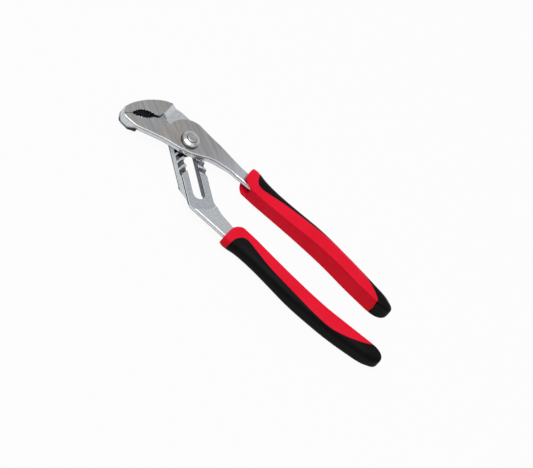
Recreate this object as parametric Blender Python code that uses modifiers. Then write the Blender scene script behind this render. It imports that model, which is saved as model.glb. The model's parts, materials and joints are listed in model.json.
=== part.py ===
# Groove-joint water pump pliers of the 250 mm class, lying flat with the jaws closed.
# +X runs from the jaws to the handle ends, +Y towards the tongue lever's handle, +Z up.
# Outlines are drawn about the pivot axis, and every object has its origin on that axis.
from math import ceil, cos, pi, radians, sin, sqrt, tan

import bmesh
import bpy
from mathutils import Matrix, Vector

mm = 0.001

# Clearances
fit = 0.3 * mm             # between pieces that seat or slide
jaw_fit = 0.3 * mm         # between the closed jaws at the nose

# Joint: slot, grooves and tongue
slot_tilt = radians(42.5)  # the slot runs this far below +X
slot_width = 9.1 * mm
slot_lead = 2.2 * mm       # slot beyond the first station, towards the jaw
slot_over = 4.4 * mm       # slot beyond the last station
rail_half = 10.5 * mm      # slotted plate, half its width
stations = 7
pitch = 5.9 * mm           # from one groove to the next
tongue_radius = 16.2 * mm  # middle of the tongue rib, about the bolt
tongue_width = 2.5 * mm
tongue_height = 1.6 * mm
tongue_start = radians(2)  # measured from the slot's line, towards the left rail
tongue_end = radians(44)
groove_reach = radians(64)

# Heights, from the surface that the pliers lie on
slotted_thick = 8.0 * mm   # slotted plate, back to groove face
channel_deep = 3.2 * mm    # track for the bolt head, in the plate's back
channel_half = 7.0 * mm
front_thick = 4.5 * mm     # hub plate of the tongue lever
jaw_thick = 9.1 * mm
tang_thick = 3.7 * mm
grip_mid = 7.95 * mm       # middle height of both grips
nut_height = 2.7 * mm
nut_radius = 6.6 * mm
washer_thick = 0.6 * mm
washer_radius = 6.9 * mm
bolt_end_over = 0.5 * mm   # bolt end above the nut
thread_radius = 3.6 * mm
journal_radius = 4.5 * mm  # bolt where the tongue lever turns on it
slider_radius = 5.2 * mm   # bolt shank in the slot, before its flats
head_radius = 6.6 * mm
head_thick = 2.5 * mm

# Jaws
hub_radius = 18.2 * mm
jaw_tilt = radians(43)     # jaw line above +X
nose = Vector((-46.4, -21.6)) * mm
nose_flat = 6.2 * mm       # flat at the nose where the jaws meet
nose_rise = 0.85 * mm
teeth = 8
tooth_deep = 0.8 * mm
ramp_run = 4.2 * mm        # slope from the upper jaw's face down to the neck
neck_start = -21.9 * mm    # where that slope reaches the neck
slope_start = -2.35 * mm   # where the lower jaw starts to thin behind, along slope_aim
slope_run = 3.4 * mm
slope_rise = 3.6 * mm
slope_aim = radians(-55)

# Handles: each grip's mouth on its middle line, from the pivot
tongue_mouth = Vector((45.4, 12.65)) * mm
slotted_mouth = Vector((62.5, -36.0)) * mm
tongue_arm_half = 4.8 * mm  # lever arms at the mouth, half their width
slotted_arm_half = 5.7 * mm
grip_length = 138.0 * mm
grip_splay = radians(1.1)
tang_half = 4.2 * mm       # tang just inside the grip, half its width
tang_shoulder = 12.5 * mm  # from the mouth to there
tang_reach = 88.0 * mm     # tang inside the grip
tang_end_half = 2.8 * mm
skin = 2.2 * mm            # overmould thickness
core_reach = 127.0 * mm    # sleeve's core under the overmould, from the mouth
mouth_round = 9.0 * mm     # the mouth sweeps back towards the inner side
mouth_blend = 26.0 * mm    # that sweep fades out over this length
tip_round = 15.0 * mm
tip_shift = 2.2 * mm       # both tips bend this far towards +Y
tip_bend = 85.0 * mm       # where that bend starts
inner_round = 1.6 * mm
outer_round = 6.0 * mm

# Where the levers step between thicknesses
ramp_inner = 17.3 * mm     # foot of the round ramp up to the tang, about the last station
ramp_slope = 1.1           # its run for one unit of rise
joggle_start = 18.0 * mm   # the tongue lever's arm steps back between these
joggle_end = 40.0 * mm
neck_top = 19.3 * mm       # upper edge of the neck, above the pivot
jaw_back_start = 12.4 * mm  # the plate's back rises to the jaw's between these, before the first station
jaw_back_end = 21.2 * mm
tang_back_start = 3.0 * mm  # and to the tang's from this far before the last station
tang_back_end = 9.0 * mm   # to this far past it
left_turn = 42.0 * mm      # the slotted plate turns into the tang this far below the pivot
right_turn = 10.5 * mm     # and on its other side this far past the last station
past = 1.0 * mm            # cutters run past a surface by this
far = 300.0 * mm           # cutters that run right across reach this far

# Levels that follow from the heights
front_back = slotted_thick + fit
front_face = front_back + front_thick
jaw_back = front_face - jaw_thick
tang_low = grip_mid - tang_thick / 2
tang_high = grip_mid + tang_thick / 2
travel = pitch * (stations - 1)


def clear_scene():
    for item in list(bpy.data.objects):
        bpy.data.objects.remove(item, do_unlink=True)


def new_collection(name):
    made = bpy.data.collections.new(name)
    bpy.context.scene.collection.children.link(made)
    return made


clear_scene()
parts = new_collection("water_pump_pliers")
cutters = new_collection("cutters")


def material(name, colour, roughness, metallic):
    made = bpy.data.materials.new(name)
    made.use_nodes = True
    shader = made.node_tree.nodes["Principled BSDF"]
    shader.inputs["Base Color"].default_value = (*colour, 1)
    shader.inputs["Roughness"].default_value = roughness
    shader.inputs["Metallic"].default_value = metallic
    return made


steel = material("ground_steel", (0.42, 0.42, 0.43), 0.35, 1.0)
plated = material("plated_steel", (0.55, 0.55, 0.56), 0.25, 1.0)
red_plastic = material("red_plastic", (0.72, 0.01, 0.03), 0.35, 0.0)
black_rubber = material("black_rubber", (0.012, 0.012, 0.013), 0.55, 0.0)


def along(distance, side):
    """Point at a distance down the slot from the first station, side towards the right rail."""
    down = Vector((cos(slot_tilt), -sin(slot_tilt)))
    right = Vector((sin(slot_tilt), cos(slot_tilt)))
    return down * distance + right * side


def on_jaw(distance, height):
    """Point along the jaw line from the nose, height towards the upper jaw."""
    line = Vector((cos(jaw_tilt), sin(jaw_tilt)))
    up = Vector((-sin(jaw_tilt), cos(jaw_tilt)))
    return nose + line * distance + up * height


def arc(centre, radius, start, end, step=radians(6)):
    count = max(2, ceil(abs(end - start) / step))
    turns = (start + (end - start) * k / count for k in range(count + 1))
    return [centre + Vector((cos(turn), sin(turn))) * radius for turn in turns]


def rounded(corners, step=radians(9)):
    """Outline through (point, fillet radius) corners, with each fillet as an arc."""
    outline = []
    for i, (point, radius) in enumerate(corners):
        if radius == 0:
            outline.append(point)
            continue
        back = corners[i - 1][0] - point
        ahead = corners[(i + 1) % len(corners)][0] - point
        half = back.angle(ahead) / 2
        reach = min(radius / tan(half), 0.49 * back.length, 0.49 * ahead.length)
        turn = pi - 2 * half
        if turn < radians(0.5):
            outline.append(point)
            continue
        bent = reach * tan(half)
        middle = (back.normalized() + ahead.normalized()).normalized()
        centre = point + middle * (bent / sin(half))
        spoke = point + back.normalized() * reach - centre
        side = 1 if back.cross(ahead) < 0 else -1
        count = max(1, ceil(turn / step))
        for k in range(count + 1):
            outline.append(centre + Matrix.Rotation(side * turn * k / count, 2) @ spoke)
    return outline


def to_mesh(curve_object, name, home):
    """Turn a filled curve into a welded mesh object."""
    evaluated = curve_object.evaluated_get(bpy.context.evaluated_depsgraph_get())
    mesh = bpy.data.meshes.new_from_object(evaluated)
    matrix = curve_object.matrix_world.copy()
    bpy.data.objects.remove(curve_object, do_unlink=True)
    work = bmesh.new()
    work.from_mesh(mesh)
    bmesh.ops.remove_doubles(work, verts=work.verts, dist=0.000001)
    bmesh.ops.transform(work, matrix=matrix, verts=work.verts)
    bmesh.ops.recalc_face_normals(work, faces=work.faces)
    work.to_mesh(mesh)
    work.free()
    made = bpy.data.objects.new(name, mesh)
    home.objects.link(made)
    return made


def plate(name, outline, low, high, home=cutters, placing=Matrix()):
    """A flat outline, as a filled 2D curve, between two heights."""
    shape = bpy.data.curves.new(name, "CURVE")
    shape.dimensions = "2D"
    shape.fill_mode = "BOTH"
    shape.extrude = (high - low) / 2
    line = shape.splines.new("POLY")
    line.points.add(len(outline) - 1)
    for spot, point in zip(line.points, outline):
        spot.co = (point.x, point.y, 0, 1)
    line.use_cyclic_u = True
    holder = bpy.data.objects.new(name, shape)
    home.objects.link(holder)
    holder.matrix_world = placing @ Matrix.Translation((0, 0, (low + high) / 2))
    bpy.context.view_layer.update()
    return to_mesh(holder, name, home)


def side_cutter(name, profile, half_width, turn=0):
    """A profile drawn in X and Z, turned about Z, that runs right across the object."""
    upright = Matrix.Rotation(turn, 4, "Z") @ Matrix.Rotation(pi / 2, 4, "X")
    outline = [Vector(point) for point in profile]
    return plate(name, outline, -half_width, half_width, cutters, upright)


def reach_height(start, end, height):
    """Point at a height on the line through two (x, height) points."""
    return Vector(start).lerp(Vector(end), (height - start[1]) / (end[1] - start[1]))


def boolean(target, tool, operation):
    step = target.modifiers.new(tool.name, "BOOLEAN")
    step.operation = operation
    step.object = tool
    step.solver = "EXACT"
    tool.hide_render = True
    tool.display_type = "WIRE"


def cut(target, tool):
    boolean(target, tool, "DIFFERENCE")


def join(target, tool):
    boolean(target, tool, "UNION")


def common(target, tool):
    boolean(target, tool, "INTERSECT")


def finish(piece, look, smooth_angle=radians(28)):
    piece.data.materials.append(look)
    piece.data.shade_smooth()
    piece.data.set_sharp_from_angle(angle=smooth_angle)
    return piece


def slot_outline(start, end, half):
    """Straight slot with round ends, on the slot's line."""
    aim = -slot_tilt
    far = arc(along(end, 0), half, aim - pi / 2, aim + pi / 2, radians(15))
    near = arc(along(start, 0), half, aim + pi / 2, aim + 3 * pi / 2, radians(15))
    return far + near


def ring_sector(centre, inner, outer, start, end):
    return arc(centre, outer, start, end) + arc(centre, inner, end, start)


def toothed(start, end, bulge):
    """Saw teeth along a bowed line between two points on the jaw, crests on the bow."""
    count = 2 * teeth
    row = []
    for k in range(1, count):
        share = k / count
        height = start[1] + (end[1] - start[1]) * share + 4 * bulge * share * (1 - share)
        if k % 2:
            height += tooth_deep if bulge > 0 else -tooth_deep
        row.append(on_jaw(start[0] + (end[0] - start[0]) * share, height))
    return row


def sharp(points):
    return [(point, 0) for point in points]


def at(x, y, fillet):
    return (Vector((x, y)) * mm, fillet * mm)


# Grips: one shape, drawn from its mouth along x with y outwards, mirrored for the other handle
def through(points, x):
    """Smooth curve through (x, y) points, by cubic blends with flat-average slopes."""
    for i in range(len(points) - 1):
        if x <= points[i + 1][0] or i == len(points) - 2:
            break
    (x0, y0), (x1, y1) = points[i], points[i + 1]
    before = points[max(i - 1, 0)]
    after = points[min(i + 2, len(points) - 1)]
    slope0 = (y1 - before[1]) / (x1 - before[0])
    slope1 = (after[1] - y0) / (after[0] - x0)
    t = (x - x0) / (x1 - x0)
    h = x1 - x0
    return ((2 * t ** 3 - 3 * t ** 2 + 1) * y0 + (t ** 3 - 2 * t ** 2 + t) * h * slope0
            + (3 * t ** 2 - 2 * t ** 3) * y1 + (t ** 3 - t ** 2) * h * slope1)


outer_edge = [(0, 10.2), (4, 10.9), (14, 9.0), (27, 8.5), (57.5, 9.9), (68, 9.9), (88, 8.5), (104, 7.0),
              (137, 2.4)]
inner_edge = [(0, -8.6), (18, -8.5), (57.5, -6.0), (70, -5.4), (86, -5.4), (104, -6.8), (137, -9.2)]
half_deep = [(0, 6.2), (25, 6.2), (45, 6.5), (70, 7.4), (95, 7.9), (137, 7.7)]


def section(x, inset, side):
    """Section of the grip at x: outer side fully rounded, inner side nearly square."""
    high = through(outer_edge, x / mm) * mm - inset
    low = through(inner_edge, x / mm) * mm + inset
    deep = through(half_deep, x / mm) * mm - inset
    left = grip_length - inset - x
    if left < tip_round:
        share = max(0.0, 1 - left / tip_round)
        shrink = (1 - share ** 2.4) ** (1 / 2.4)
        middle = low + (high - low) * 0.5
        high = middle + (high - middle) * shrink
        low = middle + (low - middle) * shrink
        deep = deep * (0.35 + 0.65 * shrink)
    big = min(outer_round, 0.96 * deep, 0.6 * (high - low))
    small = min(inner_round, 0.5 * deep, 0.3 * (high - low))
    corners = [
        (low + small, small - deep, small, -pi / 2, -pi, 2),
        (low + small, deep - small, small, pi, pi / 2, 2),
        (high - big, deep - big, big, pi / 2, 0, 4),
        (high - big, big - deep, big, 0, -pi / 2, 4),
    ]
    ring = []
    for y, z, radius, start, end, count in corners:
        for k in range(count + 1):
            turn = start + (end - start) * k / count
            ring.append((y + radius * cos(turn), z + radius * sin(turn)))
    sweep = max(0.0, 1 - x / mouth_blend) * mouth_round
    shift = side * tip_shift * max(0.0, (x - tip_bend) / (grip_length - tip_bend)) ** 2
    spots = []
    for y, z in ring:
        near = min(1.0, max(0.0, 1 - (y - low) / mouth_round))
        spots.append(Vector((x + sweep * (1 - sqrt(1 - near * near)), y + shift, z + grip_mid)))
    return spots


def grip_placing(mouth, side):
    """From the grip's own frame to the pliers; side -1 mirrors it for the slotted lever."""
    mirror = Matrix.Scale(side, 4, (0, 1, 0))
    return Matrix.Translation((*mouth, 0)) @ mirror @ Matrix.Rotation(-side * grip_splay, 4, "Z")


def tang(mouth, side, arm_half, gap):
    """Tang corners from the outer side of the mouth, round its end and back."""
    middle = (through(outer_edge, tang_reach / mm) + through(inner_edge, tang_reach / mm)) / 2 * mm
    end = (grip_placing(mouth, side) @ Vector((tang_reach, middle, 0))).xy
    corners = []
    for edge in (side, -side):
        row = [
            (mouth + Vector((0, edge * (arm_half + gap))), 20 * mm),
            (mouth + Vector((tang_shoulder, edge * (tang_half + gap))), 0),
            (end + Vector((gap, edge * (tang_end_half + gap))), 1.5 * mm),
        ]
        corners += row if edge == side else row[::-1]
    return corners


# Slotted lever: upper jaw, neck, slotted plate and tang, from one outline
upper_from = (nose_flat, nose_rise + jaw_fit / 2)
upper_to = (24.2 * mm, 1.7 * mm)
left_bend = along((left_turn - rail_half * cos(slot_tilt)) / sin(slot_tilt), -rail_half)
right_bend = along(travel + right_turn, rail_half)
neck_corner = along((rail_half * cos(slot_tilt) - neck_top) / sin(slot_tilt), rail_half)
slotted_outline = rounded([
    (on_jaw(0, jaw_fit / 2), 0.4 * mm),
    (on_jaw(*upper_from), 0),
    *sharp(toothed(upper_from, upper_to, 3.0 * mm)),
    (on_jaw(*upper_to), 0.5 * mm),
    (on_jaw(27.6 * mm, 1.4 * mm), 1.0 * mm),
    at(-26.3, 3.2, 1.6),
    (along(-travel * 0.5, -rail_half), 2.0 * mm),
    (left_bend, 8 * mm),
    *tang(slotted_mouth, -1, slotted_arm_half, 0),
    at(48.5, -28.2, 25),
    (right_bend, 7 * mm),
    (neck_corner, 10 * mm),
    (Vector((-19.5 * mm, neck_top)), 12 * mm),
    at(-24.7, 16.8, 12),
    at(-32.2, 12.8, 25),
    at(-41.7, 2.3, 45),
    at(-47.7, -9.6, 40),
    at(-49.4, -16.6, 1.4),
    at(-47.1, -21.3, 0.6),
])
slotted_lever = plate("slotted_lever", slotted_outline, 0, front_face, parts)

# Front of the plate: slope below the jaw, groove face, and the round ramp up to the tang
above = front_face + 5 * past
slope_top = (neck_start - ramp_run, front_face)
slope_foot = (neck_start, slotted_thick)
cut(slotted_lever, side_cutter("neck_slope", [
    reach_height(slope_foot, slope_top, above),
    slope_foot,
    (0, slotted_thick),
    (0, above),
], far))
cut(slotted_lever, plate("groove_face", [
    along(-rail_half, -far),
    along(travel, -far),
    along(travel, far),
    along(-rail_half, far),
], slotted_thick, above))
ramp_rise = above - slotted_thick
ramp = bmesh.new()
bmesh.ops.create_cone(ramp, cap_ends=True, segments=72, radius1=ramp_inner,
                      radius2=ramp_inner + ramp_slope * ramp_rise, depth=ramp_rise)
last = along(travel, 0)
bmesh.ops.translate(ramp, verts=ramp.verts, vec=(last.x, last.y, (above + slotted_thick) / 2))
ramp_mesh = bpy.data.meshes.new("round_ramp")
ramp.to_mesh(ramp_mesh)
ramp.free()
round_ramp = bpy.data.objects.new("round_ramp", ramp_mesh)
cutters.objects.link(round_ramp)
cut(slotted_lever, round_ramp)
tang_box = [Vector((0, -far)), Vector((far, -far)), Vector((far, far)), Vector((0, far))]
cut(slotted_lever, plate("tang_face", tang_box, tang_high, above + past))

# Back of the plate: it thins to the jaw on one end and to the tang on the other
jaw_step = (-jaw_back_end, jaw_back)
cut(slotted_lever, side_cutter("jaw_back", [
    reach_height((-jaw_back_start, 0), jaw_step, -past),
    jaw_step,
    (-far, jaw_back),
    (-far, -past),
], far, -slot_tilt))
tang_step = (travel + tang_back_end, tang_low)
cut(slotted_lever, side_cutter("tang_back", [
    reach_height((travel - tang_back_start, 0), tang_step, -past),
    tang_step,
    (far, tang_low),
    (far, -past),
], far, -slot_tilt))

# Slot, track for the bolt head, and one arc groove for each station
slot_line = slot_outline(-slot_lead, travel + slot_over, slot_width / 2)
cut(slotted_lever, plate("slot", slot_line, -past, above))
cut(slotted_lever, plate("head_track", slot_outline(-fit, travel + fit, channel_half), -past, channel_deep))
groove_floor = slotted_thick - tongue_height - fit
groove_half = tongue_width / 2 + fit
up_slot = pi - slot_tilt
for station in range(stations):
    sector = ring_sector(along(pitch * station, 0), tongue_radius - groove_half, tongue_radius + groove_half,
                         up_slot - groove_reach, up_slot + groove_reach)
    cut(slotted_lever, plate(f"groove_{station}", sector, groove_floor, above))
finish(slotted_lever, steel)

# Tongue lever: lower jaw, hub, arm and tang, from one outline
lower_from = (nose_flat, nose_rise - jaw_fit / 2)
lower_to = (22.2 * mm, -0.2 * mm)
lower_teeth = toothed(lower_from, lower_to, -1.8 * mm)
throat = [(on_jaw(28.4 * mm, -0.8 * mm), 3 * mm), at(-20.0, -2.0, 0.5)]
hub_arc = arc(Vector((0, 0)), hub_radius, radians(184), radians(97))
tongue_outline = rounded([
    (on_jaw(0, -jaw_fit / 2), 0.4 * mm),
    (on_jaw(*lower_from), 0),
    *sharp(lower_teeth),
    (on_jaw(*lower_to), 0.5 * mm),
    *throat,
    *sharp(hub_arc),
    at(12.0, 16.8, 60),
    at(30.0, 17.0, 60),
    *tang(tongue_mouth, 1, tongue_arm_half, 0),
    at(36.0, 7.0, 20),
    at(22.0, 2.2, 25),
    at(7.6, -7.8, 14),
    at(-2.0, -11.8, 16),
    at(-14.0, -15.0, 30),
    at(-34.5, -23.8, 16),
    at(-44.0, -24.0, 3),
    at(-46.5, -22.2, 0.5),
])
tongue_lever = plate("tongue_lever", tongue_outline, jaw_back, front_face, parts)

# The arm is set back towards the middle of the grip
arm_step = (joggle_end, tang_high)
cut(tongue_lever, side_cutter("arm_front", [
    reach_height((joggle_start, front_face), arm_step, front_face + past),
    arm_step,
    (far, tang_high),
    (far, front_face + past),
], far))
cut(tongue_lever, side_cutter("arm_back", [
    (joggle_start, front_back),
    (joggle_end, tang_low),
    (far, tang_low),
    (far, -past),
    (joggle_start, -past),
], far))

# Behind the hub only the front plate stays; the jaw keeps its thickness along the teeth and slopes off below
cut(tongue_lever, plate("hub_back", rounded([
    at(-32.4, -40.0, 0),
    at(-32.4, -18.0, 1.5),
    at(-21.2, -6.6, 2),
    at(-21.2, 40.0, 0),
    at(20.0, 40.0, 0),
    at(20.0, -40.0, 0),
]), -past, front_back))
slope_end = (slope_start + slope_run, jaw_back + slope_rise)
cut(tongue_lever, side_cutter("jaw_slope", [
    reach_height((slope_start, jaw_back), slope_end, -past),
    (slope_start + slope_run, -past),
    slope_end,
], far, slope_aim))
tongue_sector = ring_sector(Vector((0, 0)), tongue_radius - tongue_width / 2,
                            tongue_radius + tongue_width / 2, up_slot + tongue_start, up_slot + tongue_end)
join(tongue_lever, plate("tongue_rib", tongue_sector, front_back - tongue_height, front_back + past))
pivot_hole = arc(Vector((0, 0)), journal_radius + fit, 0, 2 * pi, radians(10))[:-1]
cut(tongue_lever, plate("pivot_hole", pivot_hole, -past, above))
finish(tongue_lever, steel)


def turned(name, profile, look, steps=36):
    """A profile of (radius, height) points, from its top down, turned about the pivot."""
    mesh = bpy.data.meshes.new(name)
    work = bmesh.new()
    spots = [work.verts.new((radius, 0, height)) for radius, height in profile]
    for first, second in zip(spots, spots[1:]):
        work.edges.new((first, second))
    if profile[0][0] > 0:
        work.edges.new((spots[-1], spots[0]))
    work.to_mesh(mesh)
    work.free()
    made = bpy.data.objects.new(name, mesh)
    parts.objects.link(made)
    screw = made.modifiers.new("turn", "SCREW")
    screw.steps = steps
    screw.render_steps = steps
    screw.use_merge_vertices = True
    screw.merge_threshold = 0.00001
    return finish(made, look)


# Bolt, washer and nut, stacked on the pivot axis
seat = fit / 3
washer_low = front_face + seat
nut_low = washer_low + washer_thick + seat
nut_top = nut_low + nut_height
bolt_top = nut_top + bolt_end_over
head_top = channel_deep - fit
head_low = head_top - head_thick
journal_low = front_back - fit / 2
pivot_bolt = turned("pivot_bolt", [
    (0, bolt_top),
    (thread_radius - 0.5 * mm, bolt_top),
    (thread_radius, bolt_top - 0.4 * mm),
    (thread_radius, front_face),
    (journal_radius, front_face - 0.2 * mm),
    (journal_radius, journal_low),
    (slider_radius, journal_low),
    (slider_radius, head_top),
    (head_radius, head_top),
    (head_radius, head_low + 0.6 * mm),
    (head_radius - 0.6 * mm, head_low),
    (0, head_low),
], plated)
flat_half = slot_width / 2 - fit
for side in (-1, 1):
    flat = [
        along(-channel_half, side * flat_half),
        along(channel_half, side * flat_half),
        along(channel_half, side * channel_half),
        along(-channel_half, side * channel_half),
    ]
    cut(pivot_bolt, plate(f"slider_flat_{side}", flat[::side], head_top, journal_low))
pivot_washer = turned("pivot_washer", [
    (thread_radius + fit, washer_low + washer_thick),
    (washer_radius - 0.2 * mm, washer_low + washer_thick),
    (washer_radius, washer_low + washer_thick - 0.2 * mm),
    (washer_radius, washer_low),
    (thread_radius + fit, washer_low),
], plated)
dome = 0.45 * nut_height
pivot_nut = turned("pivot_nut", [
    (thread_radius + fit, nut_top),
    (thread_radius + fit + 0.9 * mm, nut_top),
    (nut_radius - 0.45 * dome, nut_top - 0.45 * dome),
    (nut_radius - 0.1 * dome, nut_top - dome),
    (nut_radius, nut_top - 1.7 * dome),
    (nut_radius, nut_low + 0.3 * mm),
    (nut_radius - 0.3 * mm, nut_low),
    (thread_radius + fit, nut_low),
], plated)


def grip_loft(name, inset, end, side, placing, home=cutters):
    """Closed loft of the grip from its mouth to x = end, with a round tip where it is whole."""
    shares = (0, 0.025, 0.057, 0.1, 0.15, 0.21, 0.29, 0.38, 0.47, 0.57, 0.67, 0.77, 0.86, 0.94)
    tip_shares = (0.2, 0.4, 0.6, 0.77, 0.9, 0.98)
    tip_from = grip_length - inset - tip_round
    whole = [tip_from * share for share in shares] + [tip_from + tip_round * share for share in tip_shares]
    runs = [run for run in whole if run < end]
    if end < whole[-1]:
        runs.append(end)
    work = bmesh.new()
    rings = [[work.verts.new(spot) for spot in section(run, inset, side)] for run in runs]
    for first, second in zip(rings, rings[1:]):
        for k in range(len(first)):
            work.faces.new((first[k - 1], first[k], second[k], second[k - 1]))
    work.faces.new(rings[0])
    work.faces.new(rings[-1][::-1])
    bmesh.ops.transform(work, matrix=placing, verts=work.verts)
    bmesh.ops.recalc_face_normals(work, faces=work.faces)
    mesh = bpy.data.meshes.new(name)
    work.to_mesh(mesh)
    work.free()
    made = bpy.data.objects.new(name, mesh)
    home.objects.link(made)
    return made


def overmould_edge(gap):
    """Line between the red sleeve and the black overmould, with the gap towards the sleeve."""
    shift = gap / mm
    return rounded([
        at(6.2 - shift, 40, 0),
        at(6.2 - shift, 4.0 - shift, 6),
        at(10.5 - shift, -1.8 - shift, 5),
        at(17, -1.8 - shift, 12),
        at(36, 2.8 - shift, 60),
        at(70, 6.3 - shift, 60),
        at(97, 6.3 - shift, 30),
        at(112, 1.8 - shift, 40),
        at(122, -3.6 - shift, 20),
        at(128.2 - shift, -9 - shift, 3),
        at(128.2 - shift, -40, 0),
        at(170, -40, 0),
        at(170, 40, 0),
    ])


def grip(prefix, mouth, side, arm_half):
    """Red sleeve with a pocket for the tang, and the black overmould seated on it."""
    placing = grip_placing(mouth, side)
    lead = Vector((-20 * mm, 0))
    around_tang = tang(mouth, side, arm_half, fit)
    pocket = [(around_tang[0][0] + lead, 0), *around_tang, (around_tang[-1][0] + lead, 0)]
    sleeve = grip_loft(prefix + "_sleeve", 0, grip_length, side, placing, parts)
    cut(sleeve, plate(prefix + "_seat", overmould_edge(fit), -far, far, cutters, placing))
    join(sleeve, grip_loft(prefix + "_core", skin, core_reach, side, placing))
    cut(sleeve, plate(prefix + "_pocket", rounded(pocket), tang_low - fit, tang_high + fit))
    finish(sleeve, red_plastic)
    overmould = grip_loft(prefix + "_overmould", 0, grip_length, side, placing, parts)
    common(overmould, plate(prefix + "_cover", overmould_edge(0), -far, far, cutters, placing))
    cut(overmould, grip_loft(prefix + "_hollow", skin - fit, core_reach + fit, side, placing))
    finish(overmould, black_rubber)


grip("tongue_grip", tongue_mouth, 1, tongue_arm_half)
grip("slotted_grip", slotted_mouth, -1, slotted_arm_half)


# The origin is the middle of the footprint, so the pivot axis moves there with every piece
def footprint_middle():
    graph = bpy.context.evaluated_depsgraph_get()
    spots = [corner for piece in parts.objects for corner in piece.evaluated_get(graph).bound_box]
    return [(min(spot[axis] for spot in spots) + max(spot[axis] for spot in spots)) / 2 for axis in (0, 1)]


bpy.context.view_layer.update()
middle_x, middle_y = footprint_middle()
for item in [*parts.objects, *cutters.objects]:
    item.location = (-middle_x, -middle_y, 0)
bpy.context.view_layer.update()
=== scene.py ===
import json
from math import cos, hypot, pi, radians, sin, sqrt

import bmesh
import bpy
from mathutils import Matrix, Vector


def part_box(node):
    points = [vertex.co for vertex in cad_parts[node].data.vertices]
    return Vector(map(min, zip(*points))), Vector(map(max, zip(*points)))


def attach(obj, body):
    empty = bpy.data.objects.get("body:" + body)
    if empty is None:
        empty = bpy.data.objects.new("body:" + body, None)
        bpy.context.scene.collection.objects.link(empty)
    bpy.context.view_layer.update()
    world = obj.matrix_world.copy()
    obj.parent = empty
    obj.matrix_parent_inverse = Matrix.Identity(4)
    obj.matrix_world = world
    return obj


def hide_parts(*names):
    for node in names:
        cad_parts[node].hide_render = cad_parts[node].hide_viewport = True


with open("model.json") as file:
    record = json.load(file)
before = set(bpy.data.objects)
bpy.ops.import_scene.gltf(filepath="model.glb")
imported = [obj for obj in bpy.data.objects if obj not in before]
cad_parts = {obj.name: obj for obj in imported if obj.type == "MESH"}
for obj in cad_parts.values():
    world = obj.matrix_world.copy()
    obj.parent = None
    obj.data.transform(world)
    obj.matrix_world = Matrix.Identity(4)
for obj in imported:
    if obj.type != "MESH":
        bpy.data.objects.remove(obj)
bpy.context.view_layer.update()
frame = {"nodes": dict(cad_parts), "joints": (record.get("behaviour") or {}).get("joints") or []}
mm = 0.001

# Slotted lever: one drop forging in tool steel with the upper jaw, the neck, the slotted plate and
# the tang. It is blasted all over, its edges are tumbled, and the jaw's front is ground flat.
pivot = Vector(next(joint for joint in frame["joints"] if joint["name"] == "jaw_pivot")["pos_m"]).xy
face_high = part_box("slotted_lever")[1].z
slot_angle = radians(42.5)
slot_line = Vector((cos(slot_angle), -sin(slot_angle)))
slot_reach = 45 * mm
last_groove = 25.5 * mm
rail_side = 10 * mm
jaw_angle = radians(43)
jaw_line = Vector((cos(jaw_angle), sin(jaw_angle)))
jaw_start = Vector((-46.4, -21.6)) * mm
edge_angle = radians(38)
fold_angle = radians(115)


def softened(node, passes):
    """A merged copy of a CAD node with its outer edges rounded; where a round would fold, it stays sharp."""
    same_spot = 0.002 * mm
    spared_reach = 1.2 * mm
    mesh = frame["nodes"][node].data.copy()
    work = bmesh.new()
    work.from_mesh(mesh)
    bmesh.ops.remove_doubles(work, verts=work.verts, dist=same_spot)
    bmesh.ops.dissolve_limit(work, angle_limit=radians(0.7), verts=work.verts, edges=work.edges,
                             use_dissolve_boundaries=False)
    bmesh.ops.remove_doubles(work, verts=work.verts, dist=0.09 * mm)
    bmesh.ops.dissolve_degenerate(work, edges=work.edges, dist=0.01 * mm)
    # Long edges are cut near their ends, so that an end can stay sharp without the rest
    long_edges = [edge for edge in work.edges
                  if edge.calc_length() > 12 * mm and edge.calc_face_angle() > edge_angle]
    for edge in long_edges:
        for end in edge.verts[:]:
            bmesh.utils.edge_split(edge, end, 2 * mm / edge.calc_length())
    for picked, amount, segments in passes:
        known = folds(work)
        spared = []
        for attempt in range(8):
            trial = work.copy()
            edges = [edge for edge in trial.edges
                     if edge.is_convex and edge.calc_face_angle() > edge_angle and picked(edge)
                     and all((middle(edge) - spot).length > reach for spot, reach in spared)]
            bmesh.ops.bevel(trial, geom=edges, offset=amount, offset_type="OFFSET", segments=segments,
                            profile=0.5, affect="EDGES", clamp_overlap=False, material=-1)
            folded = [spot for spot in folds(trial) if all((spot - old).length > amount for old in known)]
            if not folded:
                break
            spared += [(spot, (1 + attempt / 2) * spared_reach) for spot in folded]
        work = trial
    bmesh.ops.remove_doubles(work, verts=work.verts, dist=same_spot)
    bmesh.ops.dissolve_degenerate(work, edges=work.edges, dist=same_spot)
    work.to_mesh(mesh)
    work.free()
    mesh.materials.clear()
    return mesh


def middle(edge):
    return (edge.verts[0].co + edge.verts[1].co) / 2


def folds(work):
    return [middle(edge) for edge in work.edges if edge.calc_face_angle(0) > fold_angle]


def along_slot(spot):
    """How far a point lies along the slot from the pivot, and how far to the side of its line."""
    reach = spot.xy - pivot
    return reach.dot(slot_line), abs(reach.cross(slot_line))


def by_slot(spot):
    """True close to the line that the slot, the bolt's track and the pivot hole lie on."""
    run, off = along_slot(spot)
    return -20 * mm < run < slot_reach and off < 8 * mm


def in_grooves(spot):
    """True where grooves or the slot cut the slotted plate's face."""
    run, off = along_slot(spot)
    at_grooves = -23 * mm < run < last_groove and off < 11.5 * mm
    at_slot = run < slot_reach and off < 6 * mm
    return spot.z < 8.5 * mm and (at_grooves or at_slot)


def beside_teeth(spot):
    """True along the flats where the jaws meet, the two rows of teeth and the throat behind them."""
    reach = spot.xy - pivot - jaw_start
    run, rise = reach.dot(jaw_line), -reach.cross(jaw_line)
    at_flats = abs(rise) < 1.2 * mm
    at_teeth = -3.1 * mm < rise < 5.6 * mm
    return 0.2 * mm < run < 33 * mm and (at_teeth if run > 6.3 * mm else at_flats)


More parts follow.
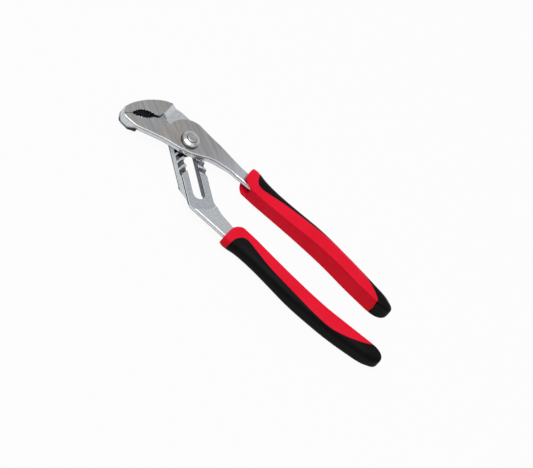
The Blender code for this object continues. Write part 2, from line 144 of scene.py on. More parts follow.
def rim(edge, facing):
    """True for an edge between a side wall and a face that looks to the front (1) or back (-1)."""
    looks = sorted(face.normal.z * facing for face in edge.link_faces)
    return abs(looks[0]) < 0.4 and looks[1] > 0.6


def back_rim(edge):
    """True where a flat back meets the outer walls, away from the slot and from steps in the back."""
    spot = middle(edge)
    flat = min(face.normal.z for face in edge.link_faces) < -0.9
    at_step = 16 * mm < spot.x - pivot.x < 24 * mm
    return rim(edge, -1) and flat and not (beside_teeth(spot) or by_slot(spot) or at_step)


def front_rim(edge):
    """True where the front meets the outer walls, away from the teeth and the grooves."""
    return rim(edge, 1) and not beside_teeth(middle(edge)) and not in_grooves(middle(edge))


def rail_rim(edge):
    """True round the ridges between the grooves, on the rails' outer sides and beyond the last groove."""
    spot = middle(edge)
    run, off = along_slot(spot)
    outside = off > rail_side or run > last_groove
    return rim(edge, 1) and in_grooves(spot) and (outside or spot.z > 7.5 * mm)


def step_top(edge):
    """True where a slope on the front runs up into a flat, short of the walls and of the narrow left end."""
    around = [face for vert in edge.verts for face in vert.link_faces]
    return all(face.normal.z > 0.6 for face in around) and middle(edge).y > pivot.y - 37 * mm


def small_crease(edge):
    """True for all edges except the notches that the grooves leave in the outer walls."""
    spot = middle(edge)
    return along_slot(spot)[1] < rail_side or not in_grooves(spot)


def new_piece(name, mesh, look, body, slot, *nodes):
    """A finished piece that rides on its body and stands for its CAD nodes."""
    piece = bpy.data.objects.new(name, mesh)
    bpy.context.scene.collection.objects.link(piece)
    mesh.materials.append(look)
    mesh.shade_smooth()
    mesh.set_sharp_from_angle(angle=radians(27))
    even = piece.modifiers.new("even_shading", "WEIGHTED_NORMAL")
    even.keep_sharp = True
    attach(piece, body)
    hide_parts(*nodes)


def linear(code):
    """An sRGB hex colour as linear red, green, blue and alpha."""
    shares = [int(code[i:i + 2], 16) / 255 for i in (1, 3, 5)]
    return [c / 12.92 if c <= 0.04045 else ((c + 0.055) / 1.055) ** 2.4 for c in shares] + [1]


def add(tree, kind, inputs=None, tones=(), **settings):
    """Add a node: settings are its properties or named inputs, inputs take a value or a socket to link,
    and tones are the places and colours of its ramp."""
    node = tree.nodes.new(kind)
    names = {socket.name.lower().replace(" ", "_"): socket for socket in reversed(node.inputs)}
    for key, value in settings.items():
        if key in names:
            names[key].default_value = value
        else:
            setattr(node, key, value)
    for key, value in (inputs or {}).items():
        if isinstance(value, bpy.types.NodeSocket):
            tree.links.new(value, node.inputs[key])
        else:
            node.inputs[key].default_value = value
    for k, (stop, code) in enumerate(tones):
        ramp = node.color_ramp.elements
        element = ramp[k] if k < len(ramp) else ramp.new(stop)
        element.position = stop
        element.color = linear(code)
    return node


def new_material(name):
    made = bpy.data.materials.new(name)
    made.use_nodes = True
    return made, made.node_tree, made.node_tree.nodes["Principled BSDF"]


def lever_steel(name, ground_from, foot_end, foot_rise):
    """Tool steel: ground bright above a height where it faces front, blasted to a fine grey elsewhere.

    The painted shade at the foot of the nose ends at foot_end from the pivot, and climbs by foot_rise where
    the back slopes.
    """
    made, tree, shader = new_material(name)
    shader.inputs["Metallic"].default_value = 1.0
    place = add(tree, "ShaderNodeTexCoord")
    here = place.outputs["Object"]
    spot = add(tree, "ShaderNodeSeparateXYZ", {"Vector": here})
    facing = add(tree, "ShaderNodeSeparateXYZ", {"Vector": place.outputs["Normal"]})
    height, looks = spot.outputs["Z"], facing.outputs["Z"]
    # Grinding marks run 31 degrees below +X; the wide ones are drawn 2.2 mm apart and the fine ones
    # 0.5 mm, because the real ones are too fine to show
    along_marks = add(tree, "ShaderNodeMapping", {"Vector": here}, rotation=(0, 0, radians(31)))
    wide = add(tree, "ShaderNodeMapping", {"Vector": along_marks.outputs["Vector"]},
               scale=(1 / (34 * mm), 1 / (2.2 * mm), 1 / (34 * mm)))
    marks = add(tree, "ShaderNodeTexNoise", {"Vector": wide.outputs["Vector"]}, scale=1.0, detail=4.0,
                roughness=0.65)
    thin = add(tree, "ShaderNodeMapping", {"Vector": along_marks.outputs["Vector"]},
               scale=(1 / (12 * mm), 1 / (0.5 * mm), 1 / (12 * mm)))
    scratches = add(tree, "ShaderNodeTexNoise", {"Vector": thin.outputs["Vector"]}, scale=1.0, detail=2.0)
    # Soft patches about 14 mm across, and the blasted finish: its mottle and its grain, which is finer
    # in life, are drawn 1.1 and 0.4 mm across
    patches = add(tree, "ShaderNodeTexNoise", {"Vector": here}, scale=1 / (14 * mm), detail=2.0)
    mottle = add(tree, "ShaderNodeTexNoise", {"Vector": here}, scale=1 / (1.1 * mm), detail=4.0)
    grain = add(tree, "ShaderNodeTexNoise", {"Vector": here}, scale=1 / (0.4 * mm), detail=3.0)
    high = add(tree, "ShaderNodeMath", {0: height, 1: ground_from}, operation="GREATER_THAN")
    front = add(tree, "ShaderNodeMapRange", {"Value": looks}, from_min=0.72, from_max=0.96)
    ground = add(tree, "ShaderNodeMath", {0: high.outputs[0], 1: front.outputs[0]}, operation="MULTIPLY")

    ground_tone = add(tree, "ShaderNodeValToRGB", {"Fac": marks.outputs["Fac"]},
                      tones=((0.3, "#B6B6B4"), (0.72, "#D9D8D6")))
    patch_tone = add(tree, "ShaderNodeValToRGB", {"Fac": patches.outputs["Fac"]},
                     tones=((0.35, "#F3EFE9"), (0.65, "#EFF2F7")))
    patched = add(tree, "ShaderNodeMix", {0: 1.0, 6: ground_tone.outputs[0], 7: patch_tone.outputs[0]},
                  data_type="RGBA", blend_type="MULTIPLY")
    # Towards the grip the arm is drawn paler and bluer
    toward_grip = add(tree, "ShaderNodeMapRange", {"Value": spot.outputs["X"]}, from_min=pivot.x + 16 * mm,
                 from_max=pivot.x + 46 * mm, to_max=0.8)
    paled = add(tree, "ShaderNodeMix", {0: toward_grip.outputs[0], 6: patched.outputs[2], 7: linear("#E9EDF3")},
                data_type="RGBA")
    blasted_tone = add(tree, "ShaderNodeValToRGB", {"Fac": mottle.outputs["Fac"]},
                       tones=((0.3, "#D2D7DB"), (0.7, "#F6F8FA")))
    tone = add(tree, "ShaderNodeMix", {0: ground.outputs[0], 6: blasted_tone.outputs[0], 7: paled.outputs[2]},
               data_type="RGBA")

    # Places by the jaw line, by the slot, by height and by the way that they face
    at_nose = add(tree, "ShaderNodeVectorMath", {0: here, 1: (*(pivot + jaw_start), 0)}, operation="SUBTRACT")
    by_jaw = add(tree, "ShaderNodeMapping", {"Vector": at_nose.outputs[0]}, rotation=(0, 0, -jaw_angle))
    jaw = add(tree, "ShaderNodeSeparateXYZ", {"Vector": by_jaw.outputs[0]})
    at_pivot = add(tree, "ShaderNodeVectorMath", {0: here, 1: (*pivot, 0)}, operation="SUBTRACT")
    by_line = add(tree, "ShaderNodeMapping", {"Vector": at_pivot.outputs[0]}, rotation=(0, 0, slot_angle))
    slot = add(tree, "ShaderNodeSeparateXYZ", {"Vector": by_line.outputs[0]})
    from_pivot = add(tree, "ShaderNodeSeparateXYZ", {"Vector": at_pivot.outputs[0]})
    along, across, ahead = slot.outputs["X"], slot.outputs["Y"], from_pivot.outputs["X"]
    upright = add(tree, "ShaderNodeMath", {0: looks, 1: 0.0, 2: 0.5}, operation="COMPARE")
    level = add(tree, "ShaderNodeMath", {0: looks, 1: 0.8}, operation="GREATER_THAN")
    # Sloped faces: on the plate beyond the grooves they get painted shade on its rims
    bend = add(tree, "ShaderNodeMath", {0: looks, 1: 0.52, 2: 0.28}, operation="COMPARE")
    # Faces that look down get painted shade
    under = add(tree, "ShaderNodeMapRange", {"Value": looks}, from_min=-0.12, from_max=-0.4)
    # The teeth and their throat, where painted shade falls between the jaws
    bite = add(tree, "ShaderNodeMath", {0: jaw.outputs["X"], 1: 18 * mm, 2: 13.5 * mm}, operation="COMPARE")
    gape = add(tree, "ShaderNodeMath", {0: jaw.outputs["Y"], 1: 1.3 * mm, 2: 4.4 * mm}, operation="COMPARE")
    floors = add(tree, "ShaderNodeMath", {0: height, 1: 6.1 * mm, 2: 0.25 * mm}, operation="COMPARE")
    # The slot's walls, which get painted shade
    in_width = add(tree, "ShaderNodeMath", {0: across, 1: 0.0, 2: 4.7 * mm}, operation="COMPARE")
    in_run = add(tree, "ShaderNodeMath", {0: along, 1: 10 * mm, 2: 35 * mm}, operation="COMPARE")
    below = add(tree, "ShaderNodeMath", {0: height, 1: 8.2 * mm}, operation="LESS_THAN")
    beyond = add(tree, "ShaderNodeMath", {0: along, 1: below.outputs[0]}, operation="MULTIPLY")
    plate = add(tree, "ShaderNodeMath", {0: beyond.outputs[0], 1: 23.6 * mm}, operation="GREATER_THAN")
    # Painted shade at the foot of the nose and of all walls near the floor
    nose = add(tree, "ShaderNodeMath", {0: ahead, 1: foot_end}, operation="LESS_THAN")
    slope = add(tree, "ShaderNodeMapRange", {"Value": ahead}, from_min=-39 * mm, from_max=-34 * mm,
                to_max=foot_rise)
    above = add(tree, "ShaderNodeMath", {0: height, 1: slope.outputs[0]}, operation="SUBTRACT")
    low = add(tree, "ShaderNodeMapRange", {"Value": above.outputs[0]}, from_min=7.0 * mm, from_max=4.6 * mm)
    low_nose = add(tree, "ShaderNodeMath", {0: low.outputs[0], 1: nose.outputs[0]}, operation="MULTIPLY")
    lowest = add(tree, "ShaderNodeMapRange", {"Value": height}, from_min=1.9 * mm, from_max=0.7 * mm)
    foot = add(tree, "ShaderNodeMath", {0: low_nose.outputs[0], 1: lowest.outputs[0]}, operation="MAXIMUM")
    # Painted shade for the floors of the grooves, mottled
    groove_floor_shade = add(tree, "ShaderNodeValToRGB", {"Fac": mottle.outputs["Fac"]},
               tones=((0.35, "#4E4F52"), (0.68, "#A6A7AA")))
    # In turn: painted shade on the teeth and their throat, between the jaws; painted shade, mottled, on the
    # floors of the grooves; painted shade on the slot's walls; the duller plate beyond the last groove, and
    # painted shade on its sloped rims; painted shade at the foot of the noses and of all walls; and painted
    # shade on faces that look down
    for limits, shade in (((bite, gape, upright), linear("#3A3A3C")),
                          ((floors, level), groove_floor_shade.outputs[0]),
                          ((in_width, below, in_run, upright), linear("#8C8D90")),
                          ((plate, level), linear("#EFF1F4")),
                          ((bend, plate), linear("#5A5A5C")),
                          ((foot,), linear("#424244")),
                          ((under,), linear("#5E5E60"))):
        share = limits[0]
        for limit in limits[1:]:
            share = add(tree, "ShaderNodeMath", {0: share.outputs[0], 1: limit.outputs[0]},
                        operation="MULTIPLY")
        tone = add(tree, "ShaderNodeMix", {0: share.outputs[0], 6: tone.outputs[2], 7: shade},
                   data_type="RGBA", blend_type="MULTIPLY")
    tree.links.new(tone.outputs[2], shader.inputs["Base Color"])

    ground_rough = add(tree, "ShaderNodeMapRange", {"Value": scratches.outputs["Fac"]}, from_min=0.3,
                       from_max=0.7, to_min=0.24, to_max=0.36)
    blasted_rough = add(tree, "ShaderNodeMapRange", {"Value": grain.outputs["Fac"]}, from_min=0.3,
                        from_max=0.7, to_min=0.2, to_max=0.32)
    rough = add(tree, "ShaderNodeMix", {0: ground.outputs[0], 2: blasted_rough.outputs[0],
                                        3: ground_rough.outputs[0]}, data_type="FLOAT")
    tree.links.new(rough.outputs[0], shader.inputs["Roughness"])
    relief = add(tree, "ShaderNodeMix", {0: ground.outputs[0], 2: grain.outputs["Fac"],
                                         3: scratches.outputs["Fac"]}, data_type="FLOAT")
    bump = add(tree, "ShaderNodeBump", {"Height": relief.outputs[0]}, strength=0.12, distance=0.05 * mm)
    tree.links.new(bump.outputs["Normal"], shader.inputs["Normal"])
    return made


slotted_rounds = [(back_rim, 0.75 * mm, 4), (front_rim, 1.0 * mm, 5), (rail_rim, 0.45 * mm, 4),
                  (step_top, 0.9 * mm, 5), (small_crease, 0.18 * mm, 3)]
new_piece("slotted_lever_forging", softened("slotted_lever", slotted_rounds),
          lever_steel("blasted_tool_steel", face_high - 0.9 * mm, -37.5 * mm, 0.0),
          "slotted", "ground_steel", "slotted_lever")

# Tongue lever: the second forging, with the lower jaw, the hub and the arm. Its whole front is ground
# together with the upper jaw, and a rib on its back drops into one groove of the slotted plate.
tongue_rounds = [(back_rim, 1.2 * mm, 4), (front_rim, 1.5 * mm, 6), (small_crease, 0.18 * mm, 3)]
new_piece("tongue_lever_forging", softened("tongue_lever", tongue_rounds),
          lever_steel("ground_tool_steel", 0.0, -32.4 * mm, 4.6 * mm),
          "tongue", "ground_steel", "tongue_lever")


# Pivot bolt: turned steel, plated. Its low head runs in the plate's back, two flats on the shank keep it
# from turning in the slot, and its end is faced off just above the nut.
def turned(profile, steps=96):
    """A closed mesh from (radius, height) points, spun about the pivot."""
    work = bmesh.new()
    spots = [work.verts.new((pivot.x + radius, pivot.y, height)) for radius, height in profile]
    line = [work.edges.new(pair) for pair in zip(spots, spots[1:])]
    bmesh.ops.spin(work, geom=spots + line, cent=(*pivot, 0), axis=(0, 0, 1), angle=2 * pi, steps=steps,
                   use_merge=True)
    bmesh.ops.remove_doubles(work, verts=work.verts, dist=0.001 * mm)
    bmesh.ops.recalc_face_normals(work, faces=work.faces)
    return work


def as_mesh(work, name):
    mesh = bpy.data.meshes.new(name)
    work.to_mesh(mesh)
    work.free()
    return mesh


def rounded_corner(across, height, amount, start, end, steps=4):
    """Points of a round in a profile, about a centre and between two angles."""
    turns = [start + (end - start) * k / steps for k in range(steps + 1)]
    return [(across + amount * cos(turn), height + amount * sin(turn)) for turn in turns]


# Plated steel: bright and smooth, with faint smudges about 2.5 mm across, and painted shade at the nut's foot
plated, tree, shader = new_material("plated_steel")
shader.inputs["Metallic"].default_value = 1.0
place = add(tree, "ShaderNodeTexCoord")
smudge = add(tree, "ShaderNodeTexNoise", {"Vector": place.outputs["Object"]}, scale=1 / (2.5 * mm),
             detail=3.0)
tone = add(tree, "ShaderNodeValToRGB", {"Fac": smudge.outputs["Fac"]}, tones=((0, "#BDBDBC"), (1, "#E2E2E1")))
spot = add(tree, "ShaderNodeSeparateXYZ", {"Vector": place.outputs["Object"]})
# Painted shade: darker towards the washer, at the foot of the nut
nut_foot_shade = add(tree, "ShaderNodeMapRange", {"Value": spot.outputs["Z"]}, from_min=face_high + 0.5 * mm,
             from_max=face_high + 1.9 * mm, to_min=0.9, to_max=0.0)
shaded_plating = add(tree, "ShaderNodeMix", {0: nut_foot_shade.outputs[0], 6: tone.outputs[0], 7: linear("#4A4A4B")},
             data_type="RGBA", blend_type="MULTIPLY")
tree.links.new(shaded_plating.outputs[2], shader.inputs["Base Color"])
gloss = add(tree, "ShaderNodeMapRange", {"Value": smudge.outputs["Fac"]}, to_min=0.1, to_max=0.2)
tree.links.new(gloss.outputs["Result"], shader.inputs["Roughness"])

bolt_low, bolt_high = (corner.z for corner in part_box("pivot_bolt"))
head_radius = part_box("pivot_bolt")[1].x - pivot.x
head_top = 2.9 * mm
slider_radius = 5.2 * mm
flat_half = 4.25 * mm
journal_low = 8.15 * mm
journal_radius = 4.5 * mm
thread_radius = 3.6 * mm
end_round = 0.55 * mm
work = turned([
    (0, bolt_high - 0.12 * mm),
    (1.5 * mm, bolt_high - 0.05 * mm),
    *rounded_corner(thread_radius - end_round, bolt_high - end_round, end_round, pi / 2, 0),
    (thread_radius, face_high),
    (journal_radius, face_high - 0.2 * mm),
    (journal_radius, journal_low),
    (slider_radius, journal_low),
    (slider_radius, head_top),
    *rounded_corner(head_radius - 0.3 * mm, head_top - 0.3 * mm, 0.3 * mm, pi / 2, 0),
    *rounded_corner(head_radius - 0.9 * mm, bolt_low + 0.9 * mm, 0.9 * mm, 0, -pi / 2, 5),
    (0, bolt_low),
])
slot_side = Vector((sin(slot_angle), cos(slot_angle), 0))
close = 0.01 * mm
for vert in work.verts:
    if head_top - close < vert.co.z < journal_low + close:
        off = (vert.co - Vector((*pivot, vert.co.z))).dot(slot_side)
        if abs(off) > flat_half and (vert.co.xy - pivot).length < slider_radius + close:
            vert.co -= slot_side * (off - flat_half * (1 if off > 0 else -1))
new_piece("pivot_bolt_turned", as_mesh(work, "pivot_bolt_turned"), plated, "pivot", "plated_steel",
          "pivot_bolt")

# Washer and nut: a plain washer under a low round nut with a coned top, both plated.
# The nut is pulled up just enough to let the lever turn, and the bolt's end is left standing in it.
washer_low, washer_high = (corner.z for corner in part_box("pivot_washer"))
washer_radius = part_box("pivot_washer")[1].x - pivot.x
bore = thread_radius + 0.15 * mm
work = turned([
    (bore, washer_low),
    (bore, washer_high),
    *rounded_corner(washer_radius - 0.3 * mm, washer_high - 0.3 * mm, 0.3 * mm, pi / 2, 0),
    *rounded_corner(washer_radius - 0.2 * mm, washer_low + 0.2 * mm, 0.2 * mm, 0, -pi / 2),
    (bore, washer_low),
])
new_piece("pivot_washer_pressed", as_mesh(work, "pivot_washer_pressed"), plated, "pivot", "plated_steel",
          "pivot_washer")
nut_low, nut_high = (corner.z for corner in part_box("pivot_nut"))
nut_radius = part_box("pivot_nut")[1].x - pivot.x
shoulder = nut_high - 0.62 * (nut_high - nut_low)
work = turned([
    (bore, nut_low),
    (bore, nut_high - 0.3 * mm),
    (bore + 0.3 * mm, nut_high),
    *rounded_corner(bore + 0.6 * mm, nut_high - 0.4 * mm, 0.4 * mm, pi / 2, radians(35)),
    *rounded_corner(nut_radius - 0.9 * mm, shoulder, 0.9 * mm, radians(40), 0, 6),
    *rounded_corner(nut_radius - 0.25 * mm, nut_low + 0.25 * mm, 0.25 * mm, 0, -pi / 2),
    (bore, nut_low),
])
new_piece("pivot_nut_domed", as_mesh(work, "pivot_nut_domed"), plated, "pivot", "plated_steel", "pivot_nut")

# Grips: each has a hard red sleeve moulded round the tang, and a soft black overmould on its outer side
# that wraps on to the faces and covers the tip. The second grip is the mirror image of the first.
# Sizes are in millimetres along the grip from its mouth; the seam is where the red meets the black.
outer_edge = [(0, 10.2), (4, 10.9), (14, 9.0), (27, 8.5), (57.5, 9.9), (68, 9.9), (88, 8.5), (104, 7.0),
              (137, 2.4)]
inner_edge = [(0, -8.6), (18, -8.5), (57.5, -6.0), (70, -5.4), (86, -5.4), (104, -6.8), (137, -9.2)]
half_deep = [(0, 6.2), (25, 6.2), (45, 6.5), (70, 7.4), (95, 7.9), (137, 7.7)]
seam = [(6.2, 9.4), (6.6, 6.4), (7.2, 4.5), (8.2, 2.2), (9.4, 0.4), (11, -1.1), (13, -1.75), (15.5, -1.75),
        (19, -1.1), (25, 0.3), (36, 2.6), (52, 4.5), (70, 6.1), (84, 6.5), (97, 5.9), (105, 4.1), (112, 1.7),
        (118, -1.3), (122, -3.8), (126, -7.2), (127.6, -10.5)]
grip_length = 137.7
grip_mid = 7.95
grip_turn = radians(1.1)
mouth_sweep, mouth_reach = 9.0, 26
tip_round, tip_power = 15.0, 2.4
tip_bend, bend_start, bend_run = 2.2, 85, 53
inner_round, inner_steps = 1.6, 6
outer_round, outer_steps = 6.0, 12
round_end = inner_steps + 1
seat_start = 6.2
seat_steps = 8
core_end = 127.6
skin = 2.2
seat_gap = 0.1
seam_gap = 0.12


def through(points, x):
    """Smooth curve through (x, y) points."""
    i = next((k for k in range(len(points) - 1) if x <= points[k + 1][0]), len(points) - 2)
    (x0, y0), (x1, y1) = points[i], points[i + 1]
    before, after = points[max(i - 1, 0)], points[min(i + 2, len(points) - 1)]
    slope0 = (y1 - before[1]) / (x1 - before[0])
    slope1 = (after[1] - y0) / (after[0] - x0)
    run = x1 - x0
    t = (x - x0) / run
    return ((2 * t ** 3 - 3 * t ** 2 + 1) * y0 + (t ** 3 - 2 * t ** 2 + t) * run * slope0
            + (3 * t ** 2 - 2 * t ** 3) * y1 + (t ** 3 - t ** 2) * run * slope1)


def half_section(x, inset):
    """Half of the grip's section, from the middle of its inner side over the front to its outer side."""
    high = through(outer_edge, x) - inset
    low = through(inner_edge, x) + inset
    deep = through(half_deep, x) - inset
    left = max(grip_length - inset - x, 0)
    if left < tip_round:
        shrink = (1 - (1 - left / tip_round) ** tip_power) ** (1 / tip_power)
        centre = (low + high) / 2
        high = centre + (high - centre) * shrink
        low = centre + (low - centre) * shrink
        deep = deep * shrink ** 0.55
    # Where the section is small, its two rounds shrink with it
    big = min(outer_round, 0.96 * deep, 0.6 * (high - low))
    small = min(inner_round, 0.5 * deep, 0.3 * (high - low))
    points = [(low, 0), *rounded_corner(low + small, deep - small, small, pi, pi / 2, inner_steps),
              *rounded_corner(high - big, deep - big, big, pi / 2, 0, outer_steps), (high, 0)]
    lengths = [0]
    for (y0, z0), (y1, z1) in zip(points, points[1:]):
        lengths.append(lengths[-1] + hypot(y1 - y0, z1 - z0))
    return points, lengths


def walk(section, reach):
    """Point at a length along a half section."""
    points, lengths = section
    for k in range(len(points) - 1):
        if reach <= lengths[k + 1] or k == len(points) - 2:
            share = min(1, max(0, (reach - lengths[k]) / max(lengths[k + 1] - lengths[k], 1e-9)))
            (y0, z0), (y1, z1) = points[k], points[k + 1]
            return y0 + (y1 - y0) * share, z0 + (z1 - z0) * share


def crossing(section, y):
    """Length along a half section where it passes y."""
    points, lengths = section
    for k in range(len(points) - 1):
        y0, y1 = points[k][0], points[k + 1][0]
        if y0 <= y < y1:
            return lengths[k] + (lengths[k + 1] - lengths[k]) * (y - y0) / (y1 - y0)
    return 0 if y < points[0][0] else lengths[-1]


def spread(start, end, count):
    return [start + (end - start) * k / count for k in range(1, count + 1)]


def seat_line(x, inset, gap):
    """Points of the seat between sleeve and overmould, from the seam to the middle of the outer side."""
    seat = half_section(x, inset)
    start = crossing(seat, through(seam, x) + gap)
    return [walk(seat, stop) for stop in [start] + spread(start, seat[1][-1], seat_steps)]


def sleeve_ring(x, inset):
    """Red sleeve: the grip's surface up to the seam, then the seat under the overmould."""
    section = half_section(x, inset)
    lengths = section[1]
    seated = x > seat_start
    split = crossing(section, through(seam, x)) if seated else lengths[-1]
    stops = [0, lengths[1] * 0.5] + lengths[1:round_end + 1]
    stops += spread(lengths[round_end], max(split, lengths[round_end]), 10)
    top = [walk(section, min(stop, split)) for stop in stops]
    top += seat_line(x, skin, 0) if seated else [top[-1]] * (seat_steps + 1)
    return top + [(y, -z) for y, z in reversed(top[1:-1])]


def overmould_ring(x):
    """Black overmould: out over the grip's outer side from the seam, and back along its seat."""
    section = half_section(x, 0)
    lengths = section[1]
    if x < core_end:
        split = crossing(section, through(seam, x) + seam_gap)
        under = seat_line(x, skin - seat_gap, seam_gap)
    else:
        split = 0
        under = [section[0][0]] * (seat_steps + 1)
    if split < lengths[round_end]:
        inner = [lengths[1] * 0.5] + lengths[1:round_end + 1]
        stops = [split] + [max(stop, split) for stop in inner] + spread(lengths[round_end], lengths[-1], 16)
    else:
        stops = [split] + spread(split, lengths[-1], 24)
    over = [walk(section, stop) for stop in stops]
    ring = over + [(y, -z) for y, z in reversed(over[:-1])]
    return ring + [(y, -z) for y, z in under] + list(reversed(under[:-1]))


def loft(stations, insets, rings, side, mouth):
    """A tube through rings of (y, z) points at stations along the grip, from a grid whose ends are closed."""
    work = bmesh.new()
    bmesh.ops.create_grid(work, x_segments=len(stations) - 1, y_segments=len(rings[0]), size=1)
    columns = sorted({round(vert.co.x, 5) for vert in work.verts})
    rows = sorted({round(vert.co.y, 5) for vert in work.verts})
    placing = (Matrix.Translation((*(pivot + mouth), 0)) @ Matrix.Scale(side, 4, (0, 1, 0))
               @ Matrix.Rotation(-side * grip_turn, 4, "Z"))
    for vert in work.verts:
        column = columns.index(round(vert.co.x, 5))
        x, ring = stations[column], rings[column]
        y, z = ring[rows.index(round(vert.co.y, 5)) % len(ring)]
        # The mouth is swept back on its inner side, and the tip bends
        low = through(inner_edge, x) + insets[column]
        near = min(1, max(0, 1 - (y - low) / mouth_sweep))
        swept = x + max(0, 1 - x / mouth_reach) * mouth_sweep * (1 - sqrt(1 - near * near))
        bent = y + side * tip_bend * max(0, (x - bend_start) / bend_run) ** 2
        vert.co = placing @ Vector((swept * mm, bent * mm, (z + grip_mid) * mm))
    bmesh.ops.remove_doubles(work, verts=work.verts, dist=0.002 * mm)
    # Near the tip the seam leaves the section, and its two halves meet in a sheet of no thickness
    sheet = [face for face in work.faces
             if all(abs(vert.co.z - grip_mid * mm) < 0.001 * mm for vert in face.verts)]
    bmesh.ops.delete(work, geom=sheet, context="FACES")
    bmesh.ops.holes_fill(work, edges=[edge for edge in work.edges if edge.is_boundary], sides=0)
    bmesh.ops.dissolve_degenerate(work, edges=work.edges, dist=0.001 * mm)
    bmesh.ops.recalc_face_normals(work, faces=work.faces)
    return work


def moulded(name, tones, low_rough, high_rough, grain_size, depth):
    """Moulded plastic: satin, with the fine spark grain of its tool and colour clouds about 22 mm across."""
    made, tree, shader = new_material(name)
    shader.inputs["Specular IOR Level"].default_value = 0.1
    place = add(tree, "ShaderNodeTexCoord")
    here = place.outputs["Object"]
    grain = add(tree, "ShaderNodeTexNoise", {"Vector": here}, scale=1 / grain_size, detail=2.0)
    cloud = add(tree, "ShaderNodeTexNoise", {"Vector": here}, scale=1 / (22 * mm), detail=2.0)
    tone = add(tree, "ShaderNodeValToRGB", {"Fac": cloud.outputs["Fac"]}, tones=tones)
    tree.links.new(tone.outputs["Color"], shader.inputs["Base Color"])
    gloss = add(tree, "ShaderNodeMapRange", {"Value": grain.outputs["Fac"]}, from_min=0.3, from_max=0.7,
                to_min=low_rough, to_max=high_rough)
    tree.links.new(gloss.outputs["Result"], shader.inputs["Roughness"])
    bump = add(tree, "ShaderNodeBump", {"Height": grain.outputs["Fac"]}, strength=0.1, distance=depth)
    tree.links.new(bump.outputs["Normal"], shader.inputs["Normal"])
    return made


# The grain of both is drawn 0.5 to 0.6 mm across, coarser than the real one, so that it shows
red_plastic = moulded("red_polypropylene", ((0.35, "#EA0A2A"), (0.65, "#F01232")), 0.4, 0.46,
                      0.5 * mm, 0.02 * mm)
black_rubber = moulded("black_soft_rubber", ((0.35, "#0A0A0C"), (0.65, "#0F0F11")), 0.42, 0.56,
                       0.6 * mm, 0.03 * mm)

# Stations of the rings: the inside of the mouth, its rounded lip, the length of the grip and the tip
mouth_inside = (6.0, 2.3)
lip_round = 0.95
lip = [(lip_round - lip_round * sin(pi * k / 6), lip_round + lip_round * cos(pi * k / 6)) for k in range(7)]
lengthwise = [2.2, 3.6, 5.0, 6.2, 6.22, 6.4, 6.6, 6.9, 7.2, 7.7, 8.2, 8.8, 9.4, 10.2, 11, 12, 13, 14.2, 15.5,
              17, 19, 22, 25, 28.5, 32, 36, 40, 44, 48, 52, 57, 62, 67, 72, 77, 82, 87, 92, 97, 101, 105,
              108.5, 112, 115, 118, 120, 122, 123.5, 125, 126, 126.8, 127.3, 127.55]
tip_turns = [pi / 2 * k / 22 for k in range(5, 23)]
tip_run = [core_end] + [grip_length - tip_round * (1 - sin(turn) ** (2 / tip_power)) for turn in tip_turns]
for prefix, side, mouth, body in (("tongue_grip", 1, Vector((45.4, 12.65)) * mm, "tongue"),
                                  ("slotted_grip", -1, Vector((62.5, -36.0)) * mm, "slotted")):
    walls = [mouth_inside] + lip + [(x, 0) for x in lengthwise]
    work = loft([x for x, inset in walls], [inset for x, inset in walls],
                [sleeve_ring(x, inset) for x, inset in walls], side, mouth)
    new_piece(prefix + "_sleeve_moulded", as_mesh(work, prefix + "_sleeve_moulded"), red_plastic, body,
              "red_plastic", prefix + "_sleeve")
    runs = [x for x in lengthwise if x > seat_start] + tip_run
    work = loft(runs, [0] * len(runs), [overmould_ring(x) for x in runs], side, mouth)
    new_piece(prefix + "_overmould_moulded", as_mesh(work, prefix + "_overmould_moulded"), black_rubber, body,
              "black_rubber", prefix + "_overmould")

# Floor: a wide sheet of matt white paper that the tool lies on.
# It shows white to the camera and in the steel, and keeps the shadow.
work = bmesh.new()
bmesh.ops.create_grid(work, x_segments=1, y_segments=1, size=6.0)
floor = bpy.data.objects.new("floor", as_mesh(work, "floor"))
bpy.context.scene.collection.objects.link(floor)
floor_paint, tree, shader = new_material("white_sheet")
shader.inputs["Roughness"].default_value = 0.9
shader.inputs["Specular IOR Level"].default_value = 0.0
path = add(tree, "ShaderNodeLightPath")
camera_ray, glossy_ray = path.outputs["Is Camera Ray"], path.outputs["Is Glossy Ray"]
paper = add(tree, "ShaderNodeMix", {0: glossy_ray, 6: linear("#CCCCCC"), 7: linear("#D6D6D6")},
            data_type="RGBA")
tree.links.new(paper.outputs[2], shader.inputs["Base Color"])
glow = add(tree, "ShaderNodeEmission", strength=1.0)
shown = add(tree, "ShaderNodeMath", {0: camera_ray, 1: 0.95}, operation="MULTIPLY")
share = add(tree, "ShaderNodeMath", {0: glossy_ray, 1: 0.25, 2: shown.outputs[0]}, operation="MULTIPLY_ADD")
sheet = add(tree, "ShaderNodeMixShader", {0: share.outputs[0], 1: shader.outputs["BSDF"], 2: glow.outputs[0]})
tree.links.new(sheet.outputs[0], tree.nodes["Material Output"].inputs["Surface"])
floor.data.materials.append(floor_paint)

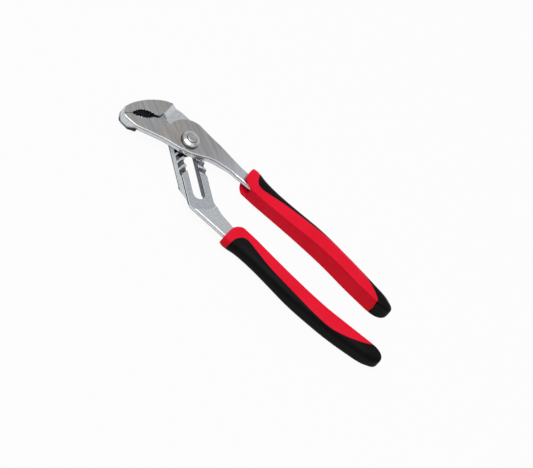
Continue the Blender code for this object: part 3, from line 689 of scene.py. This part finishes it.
# Light: a room that is dark at the horizon in front and pale behind and above, and one large softbox
# high in front on the left. The camera sees the room as white.
world = bpy.data.worlds.new("studio")
bpy.context.scene.world = world
world.use_nodes = True
tree = world.node_tree
aim = add(tree, "ShaderNodeTexCoord")
climb = add(tree, "ShaderNodeSeparateXYZ", {"Vector": aim.outputs["Generated"]})
ahead = add(tree, "ShaderNodeValToRGB", {"Fac": climb.outputs["Z"]},
            tones=((0.0, "#1C1C1C"), (0.22, "#3C3C3C"), (0.5, "#A8A8AA"), (0.86, "#FFFFFF")))
behind = add(tree, "ShaderNodeValToRGB", {"Fac": climb.outputs["Z"]},
             tones=((0.0, "#D6D6D8"), (0.3, "#D6D6D8"), (0.55, "#B8B8BA"), (0.74, "#B4B4B6"),
                    (0.9, "#FFFFFF")))
turn = add(tree, "ShaderNodeMapRange", {"Value": climb.outputs["Y"]}, from_min=-0.2, from_max=0.4)
room = add(tree, "ShaderNodeMix", {0: turn.outputs[0], 6: ahead.outputs[0], 7: behind.outputs[0]},
           data_type="RGBA")
path = add(tree, "ShaderNodeLightPath")
seen = add(tree, "ShaderNodeMix", {0: path.outputs["Is Camera Ray"], 6: room.outputs[2],
                                   7: linear("#FFFFFF")}, data_type="RGBA")
tree.links.new(seen.outputs[2], tree.nodes["Background"].inputs["Color"])

lamp = bpy.data.lights.new("softbox_front", "AREA")
lamp.size = 1.3
lamp.energy = 9
holder = bpy.data.objects.new("softbox_front", lamp)
bpy.context.scene.collection.objects.link(holder)
holder.location = (-0.35, -0.55, 1.55)
holder.rotation_mode = "QUATERNION"
holder.rotation_quaternion = (-holder.location).to_track_quat("-Z", "Y")

# Camera: a long lens 47 degrees above the floor, rolled so that the handles run to the lower right.
# Its frame is 533 pixels wide, at 1.443 pixels to a millimetre.
view_tilt = radians(47)
roll = radians(42.08)
distance = 6.0
sensor = 36
frame_width = 533 / 1.443 * mm
target = Vector((pivot.x + 82.9 * mm, pivot.y - 17.2 * mm, 12.8 * mm))
towards = Vector((0, -cos(view_tilt), sin(view_tilt)))
upright = Vector((0, sin(view_tilt), cos(view_tilt)))
level = Vector((1, 0, 0))
lens = bpy.data.cameras.new("camera")
lens.sensor_width = sensor
lens.lens = sensor * distance / frame_width
camera = bpy.data.objects.new("camera", lens)
bpy.context.scene.collection.objects.link(camera)
facing = Matrix((level * cos(roll) + upright * sin(roll), upright * cos(roll) - level * sin(roll), towards))
camera.matrix_world = Matrix.Translation(target + towards * distance) @ facing.transposed().to_4x4()
bpy.context.scene.camera = camera
bpy.context.scene.view_settings.view_transform = "Standard"
